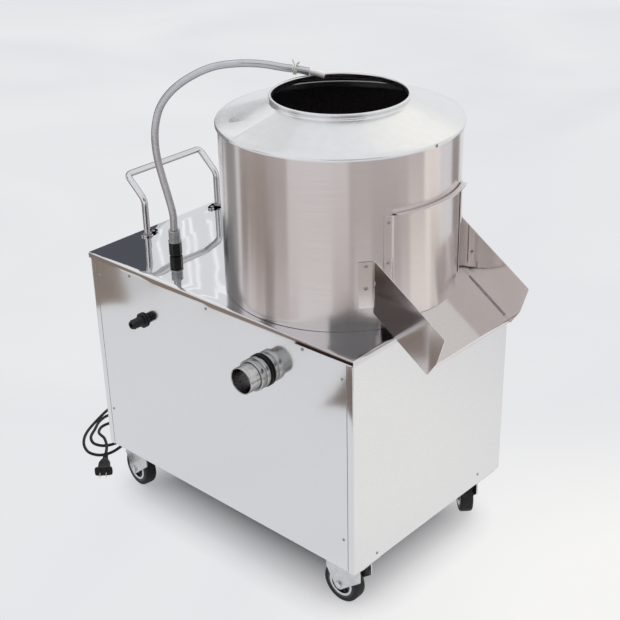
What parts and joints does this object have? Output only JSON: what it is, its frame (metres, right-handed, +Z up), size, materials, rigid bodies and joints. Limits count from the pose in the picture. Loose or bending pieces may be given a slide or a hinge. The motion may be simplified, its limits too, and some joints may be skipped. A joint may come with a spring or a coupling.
{
  "type": "electric potato peeler",
  "caption": "Upright steel peeling drum with abrasive disc, lifting gate and open chute on a wheeled cabinet, with water hose, drain, push handle and mains lead.",
  "frame": {"origin": "on the floor, under the middle of the machine without its mains lead", "axes": "+Z up, +X towards the discharge chute, -Y towards the side with the drain"},
  "size_m": [0.9644, 0.4712, 0.8679],
  "materials": {
    "mirror_steel": "polished to a mirror",
    "brushed_steel": "brushed satin",
    "dull_steel": "dull rolled",
    "zinc_steel": "bright zinc plated",
    "grey_iron": "as cast, painted",
    "motor_paint": "ribbed casting, satin blue paint",
    "liner_grit": "coarse black grit",
    "disc_grit": "casting with a coarse grit coat",
    "black_rubber": "matt",
    "tread_rubber": "matt, slightly dusty",
    "hose_vinyl": "clear grey, glossy",
    "white_plastic": "satin white",
    "black_plastic": "moulded",
    "green_plastic": "moulded",
    "red_plastic": "moulded",
    "pin_brass": "nickel plated"
  },
  "bodies": {
    "machine": {"top_plate": "mirror_steel", "rear_end_panel": "mirror_steel", "front_end_panel": "mirror_steel", "near_side_panel": "mirror_steel", "far_side_panel": "mirror_steel", "base_frame": "dull_steel", "drum_shell": "brushed_steel", "abrasive_liner": "liner_grit", "lid": "brushed_steel", "gate_guide_near": "brushed_steel", "gate_guide_far": "brushed_steel", "chute_tray": "mirror_steel", "chute_guard_near": "mirror_steel", "chute_guard_far": "mirror_steel", "waste_pan": "dull_steel", "bearing_housing": "grey_iron", "upper_bearing": "dull_steel", "lower_bearing": "dull_steel", "shaft_seal": "black_rubber", "motor_shelf": "dull_steel", "motor_body": "motor_paint", "drive_belt": "black_rubber", "water_hose": "hose_vinyl", "spray_nozzle": "white_plastic", "hose_clip": "white_plastic", "hose_nut": "black_plastic", "hose_sleeve": "dull_steel", "water_feed_line": "hose_vinyl", "inlet_fitting": "black_plastic", "drain_pipe": "dull_steel", "drain_sleeve": "dull_steel", "drain_gasket": "black_rubber", "push_handle": "mirror_steel", "switch_box": "black_plastic", "cord_gland": "black_rubber", "power_cord": "black_rubber", "plug_body": "black_rubber", "plug_pin_near": "pin_brass", "plug_pin_far": "pin_brass", "caster_front_near_plate": "zinc_steel", "caster_front_far_plate": "zinc_steel", "caster_rear_near_plate": "zinc_steel", "caster_rear_far_plate": "zinc_steel"},
    "peeling_disc": {"abrasive_disc": "disc_grit", "disc_nut": "brushed_steel", "spindle": "dull_steel", "driven_pulley": "grey_iron"},
    "motor_rotor": {"motor_shaft": "dull_steel", "motor_pulley": "grey_iron"},
    "gate": {"gate_door": "brushed_steel"},
    "start_button": {"start_button": "green_plastic"},
    "stop_button": {"stop_button": "red_plastic"},
    "caster_front_near_fork": {"caster_front_near_fork": "zinc_steel"},
    "caster_front_near_wheel": {"caster_front_near_wheel": "tread_rubber"},
    "caster_front_far_fork": {"caster_front_far_fork": "zinc_steel"},
    "caster_front_far_wheel": {"caster_front_far_wheel": "tread_rubber"},
    "caster_rear_near_fork": {"caster_rear_near_fork": "zinc_steel"},
    "caster_rear_near_wheel": {"caster_rear_near_wheel": "tread_rubber"},
    "caster_rear_far_fork": {"caster_rear_far_fork": "zinc_steel"},
    "caster_rear_far_wheel": {"caster_rear_far_wheel": "tread_rubber"}
  },
  "joints": [
    {"name": "disc_spin", "type": "hinge", "parent": "machine", "child": "peeling_disc", "pos_m": [0.07349, 0.0236, 0.5], "axis": [0, 0, 1], "continuous": true},
    {"name": "motor_spin", "type": "hinge", "parent": "machine", "child": "motor_rotor", "pos_m": [-0.18151, 0.0236, 0.15], "axis": [0, 0, 1], "continuous": true},
    {"name": "gate_lift", "type": "slide", "parent": "machine", "child": "gate", "axis": [0, 0, 1], "range_m": [0, 0.078]},
    {"name": "start_press", "type": "slide", "parent": "machine", "child": "start_button", "axis": [1, 0, 0], "range_m": [0, 0.004], "stiffness_N_per_m": 300},
    {"name": "stop_press", "type": "slide", "parent": "machine", "child": "stop_button", "axis": [1, 0, 0], "range_m": [0, 0.004], "stiffness_N_per_m": 300},
    {"name": "front_near_swivel", "type": "hinge", "parent": "machine", "child": "caster_front_near_fork", "pos_m": [0.23249, -0.1464, 0.08], "axis": [0, 0, 1], "continuous": true},
    {"name": "front_near_roll", "type": "hinge", "parent": "caster_front_near_fork", "child": "caster_front_near_wheel", "pos_m": [0.22249, -0.1464, 0.0375], "axis": [0, -1, 0], "continuous": true},
    {"name": "front_far_swivel", "type": "hinge", "parent": "machine", "child": "caster_front_far_fork", "pos_m": [0.23249, 0.1936, 0.08], "axis": [0, 0, 1], "continuous": true},
    {"name": "front_far_roll", "type": "hinge", "parent": "caster_front_far_fork", "child": "caster_front_far_wheel", "pos_m": [0.22542, 0.20067, 0.0375], "axis": [-0.7071, -0.7071, 0], "continuous": true},
    {"name": "rear_near_swivel", "type": "hinge", "parent": "machine", "child": "caster_rear_near_fork", "pos_m": [-0.30551, -0.1464, 0.08], "axis": [0, 0, 1], "continuous": true},
    {"name": "rear_near_roll", "type": "hinge", "parent": "caster_rear_near_fork", "child": "caster_rear_near_wheel", "pos_m": [-0.31542, -0.14501, 0.0375], "axis": [-0.1392, -0.9903, 0], "continuous": true},
    {"name": "rear_far_swivel", "type": "hinge", "parent": "machine", "child": "caster_rear_far_fork", "pos_m": [-0.30551, 0.1936, 0.08], "axis": [0, 0, 1], "continuous": true},
    {"name": "rear_far_roll", "type": "hinge", "parent": "caster_rear_far_fork", "child": "caster_rear_far_wheel", "pos_m": [-0.31458, 0.18937, 0.0375], "axis": [0.4226, -0.9063, 0], "continuous": true}
  ],
  "couplings": [
    {"joint": "motor_spin", "follows": "disc_spin", "ratio": 3.1622}
  ]
}
